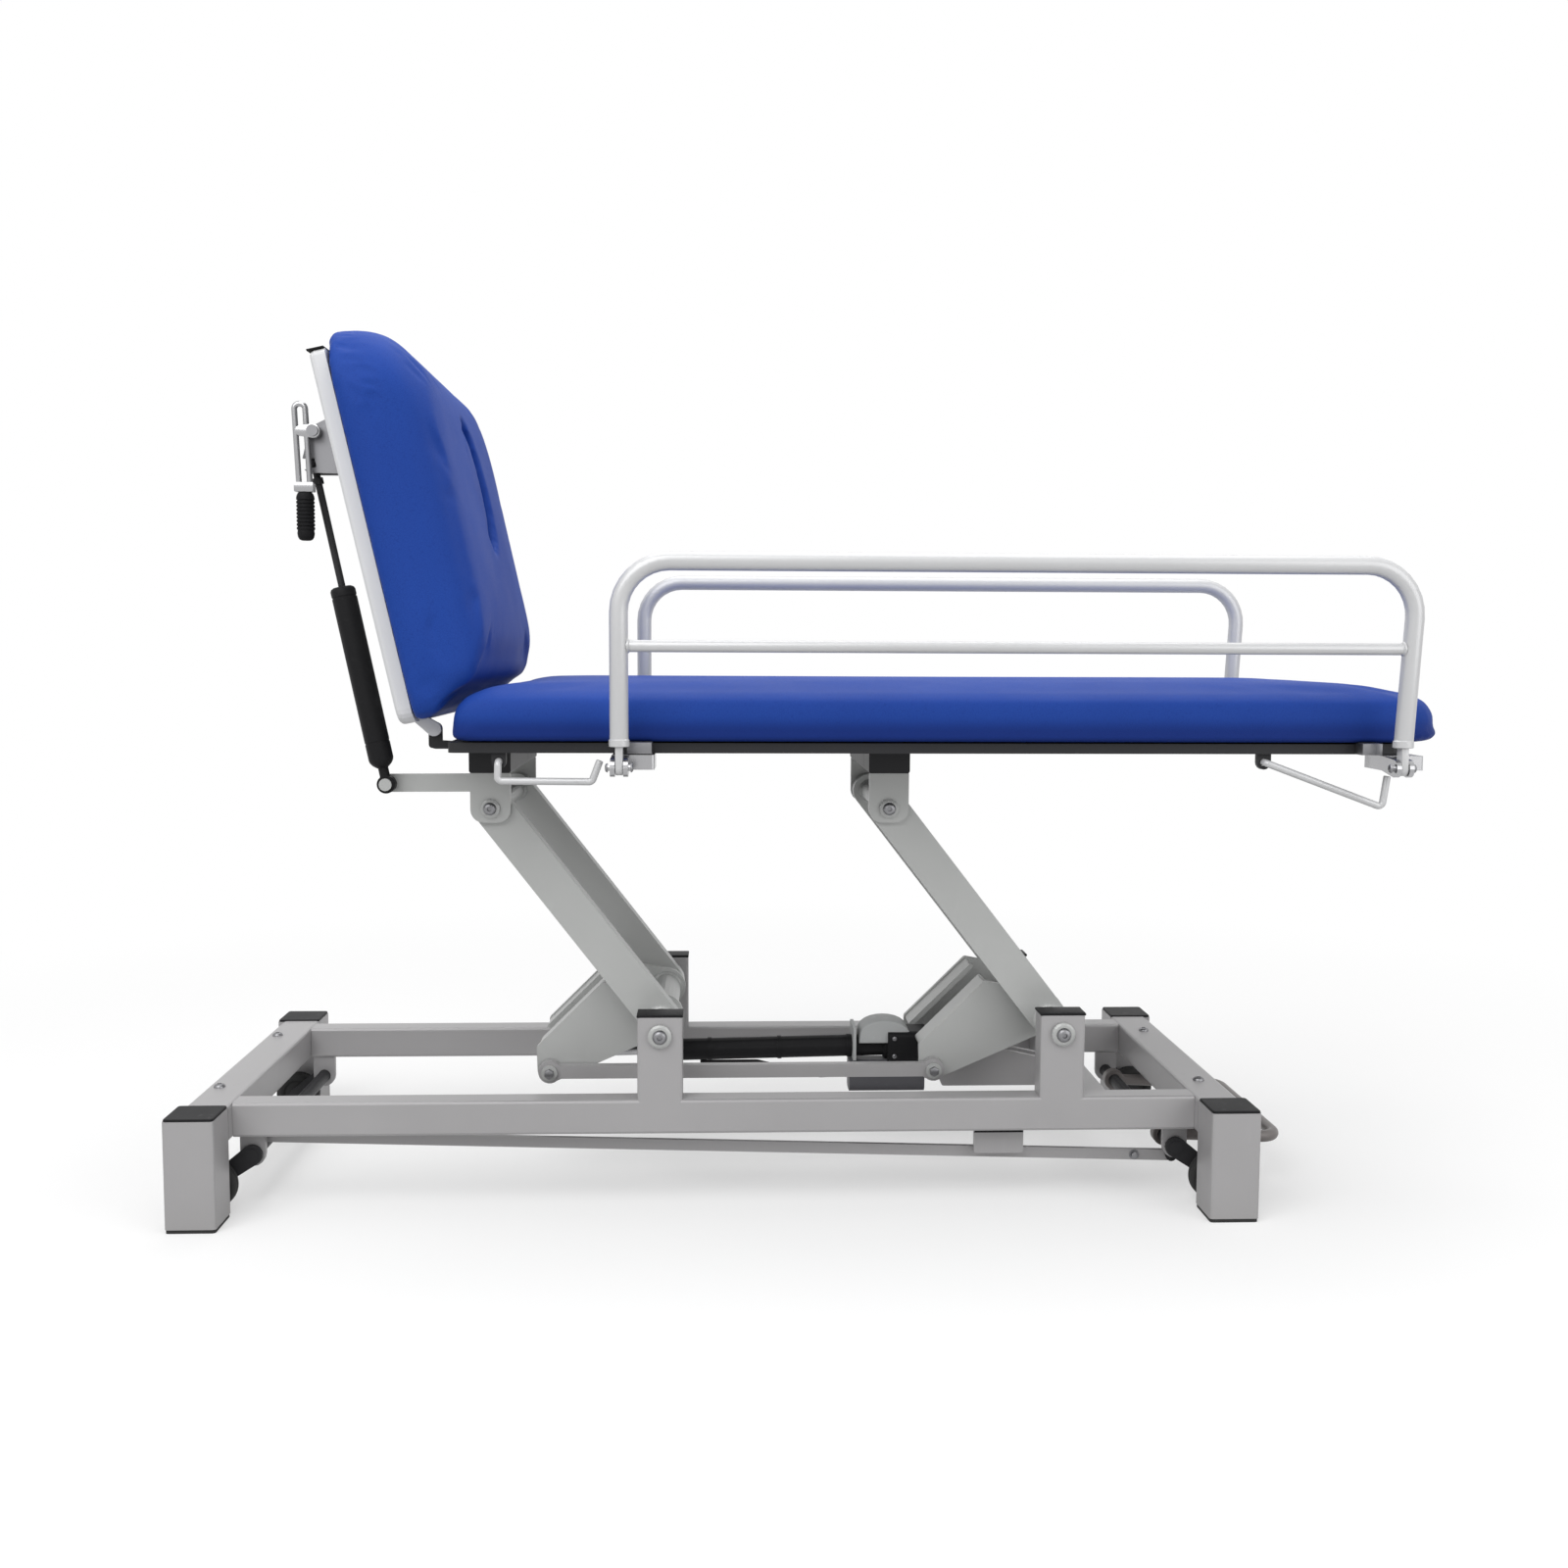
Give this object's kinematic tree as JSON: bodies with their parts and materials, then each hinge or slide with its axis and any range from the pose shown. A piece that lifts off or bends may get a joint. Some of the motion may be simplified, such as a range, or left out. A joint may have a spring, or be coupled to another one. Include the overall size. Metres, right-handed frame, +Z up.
{
  "type": "electric treatment couch",
  "caption": "Height-adjustable electric treatment couch with parallel lift arms, raised backrest on a gas strut, blue pads and folding side rails.",
  "frame": {"origin": "on the floor under the middle of the couch's outline", "axes": "+X towards the foot end, +Y towards the far side, +Z up"},
  "size_m": [1.786, 0.765, 1.2421],
  "materials": {
    "arm_grey": "satin light grey paint",
    "base_grey": "satin grey paint",
    "frame_black": "black paint",
    "panel_grey": "light grey shell",
    "rail_silver": "silver paint",
    "bright_steel": "bright steel",
    "black_plastic": "black",
    "motor_grey": "mid grey housing",
    "foot_rubber": "black rubber",
    "blue_vinyl": "blue upholstery vinyl"
  },
  "bodies": {
    "base": {"end_frame_head": "base_grey", "end_frame_foot": "base_grey", "side_rail_near": "base_grey", "side_rail_far": "base_grey", "actuator_mount": "base_grey", "post_cap_head_near": "black_plastic", "post_cap_head_far": "black_plastic", "post_cap_foot_near": "black_plastic", "post_cap_foot_far": "black_plastic", "post_foot_head_near": "foot_rubber", "post_foot_head_far": "foot_rubber", "post_foot_foot_near": "foot_rubber", "post_foot_foot_far": "foot_rubber"},
    "head_arm": {"head_arm_near": "arm_grey", "head_arm_far": "arm_grey", "head_torque_tube": "arm_grey", "head_top_shaft": "arm_grey", "head_bell_crank": "arm_grey"},
    "foot_arm": {"foot_arm_near": "arm_grey", "foot_arm_far": "arm_grey", "foot_torque_tube": "arm_grey", "foot_top_shaft": "arm_grey", "foot_bell_crank": "arm_grey"},
    "top_frame": {"seat_board": "frame_black", "seat_cross_head": "frame_black", "seat_cross_foot": "frame_black", "seat_pad": "blue_vinyl", "pivot_bracket_head_near": "arm_grey", "pivot_bracket_head_far": "arm_grey", "pivot_bracket_foot_near": "arm_grey", "pivot_bracket_foot_far": "arm_grey", "rail_hinge_near_head": "bright_steel", "rail_hinge_near_foot": "bright_steel", "rail_hinge_far_head": "bright_steel", "rail_hinge_far_foot": "bright_steel"},
    "tie_bar": {"tie_bar": "base_grey"},
    "actuator": {"actuator_tube": "black_plastic", "actuator_motor": "motor_grey", "motor_lead": "black_plastic"},
    "actuator_rod": {"actuator_rod": "bright_steel"},
    "backrest": {"back_frame": "panel_grey", "back_pad": "blue_vinyl", "strut_bracket": "bright_steel"},
    "face_plug": {"face_plug": "blue_vinyl"},
    "strut_cylinder": {"strut_cylinder": "black_plastic"},
    "strut_rod": {"strut_rod": "frame_black"},
    "release_lever": {"release_lever": "bright_steel", "lever_grip": "black_plastic"},
    "guard_near": {"guard_rail_near": "rail_silver"},
    "guard_far": {"guard_rail_far": "rail_silver"},
    "bail_head": {"rail_bail_head": "rail_silver"},
    "bail_foot": {"rail_bail_foot": "rail_silver"},
    "castor_foot": {"castor_shaft_foot": "frame_black", "castor_pedal": "base_grey"},
    "castor_head": {"castor_shaft_head": "frame_black"},
    "castor_link": {"castor_link": "base_grey"},
    "wheel_head_near": {"castor_wheel_head_near": "black_plastic"},
    "wheel_head_far": {"castor_wheel_head_far": "black_plastic"},
    "wheel_foot_near": {"castor_wheel_foot_near": "black_plastic"},
    "wheel_foot_far": {"castor_wheel_foot_far": "black_plastic"}
  },
  "joints": [
    {"name": "lift", "type": "hinge", "parent": "base", "child": "foot_arm", "pos_m": [0.362, 0, 0.251], "axis": [0, 1, 0], "range_deg": [-40, 16]},
    {"name": "lift_head", "type": "hinge", "parent": "base", "child": "head_arm", "pos_m": [-0.218, 0, 0.251], "axis": [0, 1, 0], "range_deg": [-40, 16]},
    {"name": "lift_top", "type": "hinge", "parent": "foot_arm", "child": "top_frame", "pos_m": [0.115, 0, 0.57], "axis": [0, 1, 0], "range_deg": [-16, 40]},
    {"name": "tie_swing", "type": "hinge", "parent": "foot_arm", "child": "tie_bar", "pos_m": [0.192, -0.1105, 0.166], "axis": [0, 1, 0], "range_deg": [-16, 40]},
    {"name": "actuator_swing", "type": "hinge", "parent": "base", "child": "actuator", "pos_m": [0.212, 0, 0.178], "axis": [0, 1, 0], "range_deg": [-10.73, 4.3]},
    {"name": "actuator_rod_swing", "type": "hinge", "parent": "head_arm", "child": "actuator_rod", "pos_m": [-0.388, 0, 0.166], "axis": [0, 1, 0], "range_deg": [-11.72, 29.29]},
    {"name": "back_hinge", "type": "hinge", "parent": "top_frame", "child": "backrest", "pos_m": [-0.528, 0, 0.69], "axis": [0, 1, 0], "range_deg": [-77.4, 0]},
    {"name": "strut_swing", "type": "hinge", "parent": "top_frame", "child": "strut_cylinder", "pos_m": [-0.609, -0.185, 0.607], "axis": [0, 1, 0], "range_deg": [-79.56, 0]},
    {"name": "strut_slide", "type": "slide", "parent": "strut_cylinder", "child": "strut_rod", "axis": [-0.2024, 0, 0.9793], "range_m": [-0.14442, 0]},
    {"name": "plug_pull", "type": "slide", "parent": "backrest", "child": "face_plug", "axis": [0.9759, 0, 0.2181], "range_m": [0, 0.1]},
    {"name": "lever_pull", "type": "hinge", "parent": "backrest", "child": "release_lever", "pos_m": [-0.695, -0.215, 1.1], "axis": [0, 1, 0], "range_deg": [0, 15], "stiffness_Nm_per_rad": 1, "springref_deg": -5.73},
    {"name": "guard_near_fold", "type": "hinge", "parent": "top_frame", "child": "guard_near", "pos_m": [-0.133, -0.37, 0.645], "axis": [1, 0, 0], "range_deg": [0, 170]},
    {"name": "guard_far_fold", "type": "hinge", "parent": "top_frame", "child": "guard_far", "pos_m": [-0.133, 0.37, 0.645], "axis": [-1, 0, 0], "range_deg": [0, 170]},
    {"name": "bail_head_pull", "type": "hinge", "parent": "top_frame", "child": "bail_head", "pos_m": [-0.434, -0.306, 0.648], "axis": [0, 1, 0], "range_deg": [0, 8], "stiffness_Nm_per_rad": 2, "springref_deg": -5.73},
    {"name": "bail_foot_pull", "type": "hinge", "parent": "top_frame", "child": "bail_foot", "pos_m": [0.623, -0.306, 0.648], "axis": [0, 1, 0], "range_deg": [0, 8], "stiffness_Nm_per_rad": 2, "springref_deg": -5.73},
    {"name": "castor_press", "type": "hinge", "parent": "base", "child": "castor_foot", "pos_m": [0.537, 0, 0.0755], "axis": [0, 1, 0], "range_deg": [0, 15]},
    {"name": "castor_turn_head", "type": "hinge", "parent": "base", "child": "castor_head", "pos_m": [-0.803, 0, 0.0755], "axis": [0, 1, 0], "range_deg": [-15, 0]},
    {"name": "castor_link_swing", "type": "hinge", "parent": "castor_foot", "child": "castor_link", "pos_m": [0.537, -0.191, 0.0555], "axis": [0, 1, 0], "range_deg": [-15.07, 0]},
    {"name": "wheel_head_near_roll", "type": "hinge", "parent": "castor_head", "child": "wheel_head_near", "pos_m": [-0.855, -0.2345, 0.038], "axis": [0, 1, 0], "continuous": true},
    {"name": "wheel_head_far_roll", "type": "hinge", "parent": "castor_head", "child": "wheel_head_far", "pos_m": [-0.855, 0.2345, 0.038], "axis": [0, 1, 0], "continuous": true},
    {"name": "wheel_foot_near_roll", "type": "hinge", "parent": "castor_foot", "child": "wheel_foot_near", "pos_m": [0.589, -0.2345, 0.038], "axis": [0, 1, 0], "continuous": true},
    {"name": "wheel_foot_far_roll", "type": "hinge", "parent": "castor_foot", "child": "wheel_foot_far", "pos_m": [0.589, 0.2345, 0.038], "axis": [0, 1, 0], "continuous": true}
  ],
  "couplings": [
    {"joint": "lift_head", "follows": "lift", "ratio": 1},
    {"joint": "lift_top", "follows": "lift", "ratio": -1},
    {"joint": "tie_swing", "follows": "lift", "ratio": -1},
    {"joint": "actuator_swing", "follows": "lift", "ratio": 0.268},
    {"joint": "actuator_rod_swing", "follows": "lift", "ratio": -0.732},
    {"joint": "strut_swing", "follows": "back_hinge", "ratio": 1.0278},
    {"joint": "strut_slide", "follows": "back_hinge", "m_per_rad": 0.10683},
    {"joint": "castor_turn_head", "follows": "castor_press", "ratio": -1},
    {"joint": "castor_link_swing", "follows": "castor_press", "ratio": -1.004}
  ]
}
